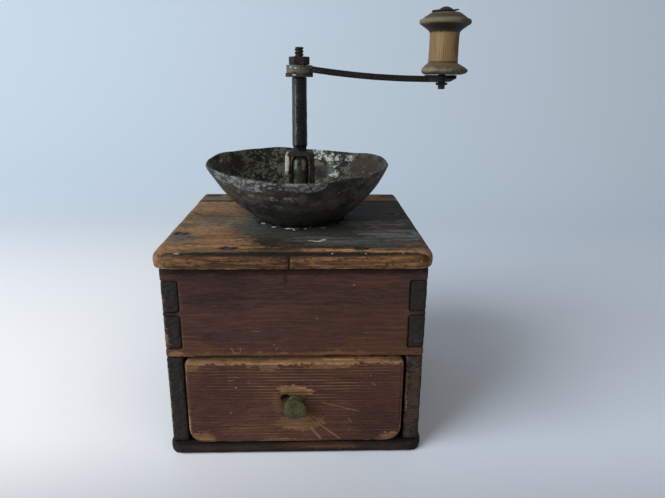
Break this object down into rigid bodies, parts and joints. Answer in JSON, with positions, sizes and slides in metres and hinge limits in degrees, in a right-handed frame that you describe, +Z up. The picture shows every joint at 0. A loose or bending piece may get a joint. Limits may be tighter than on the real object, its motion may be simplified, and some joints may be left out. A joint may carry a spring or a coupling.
{
  "type": "manual coffee grinder",
  "caption": "Wooden box coffee mill with an open iron hopper bowl, hand crank with spool handle, conical burr and pull-out drawer.",
  "frame": {"origin": "centre of the box's footprint on the underside of the base board", "axes": "+Z up along the spindle, -Y towards the drawer front, +X to the right of someone facing the drawer"},
  "size_m": [0.1825, 0.1686, 0.253],
  "materials": {
    "painted_pine": "old maroon-brown paint on pine, worn to bare wood on edges",
    "dark_pine": "dark stained pine, worn at the front lip",
    "bare_pine": "bare worn pine with dark stains",
    "inside_pine": "unpainted pine, darkened by coffee dust",
    "turned_wood": "turned light wood, polished by hands, grey at the flanges",
    "painted_sheet_iron": "dark sheet iron with flaking pale paint and rust",
    "burr_iron": "cast iron, bright on the tooth crests",
    "forged_iron": "dark forged iron with brown rust",
    "iron_fasteners": "dark iron",
    "aged_brass": "brass with green-brown patina"
  },
  "bodies": {
    "box": {"base_board": "dark_pine", "left_side": "painted_pine", "right_side": "painted_pine", "front_board": "painted_pine", "back_board": "painted_pine", "top_board": "bare_pine", "top_back_strip": "bare_pine", "top_nails": "iron_fasteners", "base_nails": "iron_fasteners", "hopper_bowl": "painted_sheet_iron", "bowl_tacks": "iron_fasteners", "hopper_screws": "iron_fasteners", "bearing_bridge": "forged_iron", "bridge_screws": "iron_fasteners", "ring_burr": "burr_iron", "ring_screws": "iron_fasteners", "step_bar": "forged_iron"},
    "step": {"step_cup": "forged_iron"},
    "adjuster": {"adjuster_screw": "forged_iron"},
    "crank": {"spindle": "forged_iron", "cone_burr": "burr_iron", "burr_pin": "iron_fasteners", "crank_collar": "forged_iron", "crank_arm": "forged_iron", "crank_nut": "forged_iron", "handle_bolt": "forged_iron", "handle_washer": "forged_iron", "handle_nut": "forged_iron"},
    "handle": {"handle_spool": "turned_wood"},
    "drawer": {"drawer_front": "painted_pine", "drawer_left_side": "inside_pine", "drawer_right_side": "inside_pine", "drawer_back": "inside_pine", "drawer_bottom": "inside_pine", "drawer_pins": "iron_fasteners", "drawer_knob": "aged_brass", "drawer_knob_nut": "aged_brass"}
  },
  "joints": [
    {"name": "drawer_slide", "type": "slide", "parent": "box", "child": "drawer", "axis": [0, -1, 0], "range_m": [0, 0.12]},
    {"name": "grind_set", "type": "slide", "parent": "box", "child": "step", "axis": [0, 0, 1], "range_m": [-0.001, 0.0005]},
    {"name": "adjuster_turn", "type": "hinge", "parent": "step", "child": "adjuster", "pos_m": [0.0015, 0.001, 0.063], "axis": [0, 0, 1], "range_deg": [-361, 181]},
    {"name": "crank_turn", "type": "hinge", "parent": "step", "child": "crank", "pos_m": [0.0015, 0.001, 0.167], "axis": [0, 0, 1], "continuous": true},
    {"name": "handle_spin", "type": "hinge", "parent": "crank", "child": "handle", "pos_m": [0.0897, 0.001, 0.2315], "axis": [0, 0, 1], "continuous": true}
  ],
  "couplings": [
    {"joint": "adjuster_turn", "follows": "grind_set", "rad_per_m": 6283.2}
  ]
}
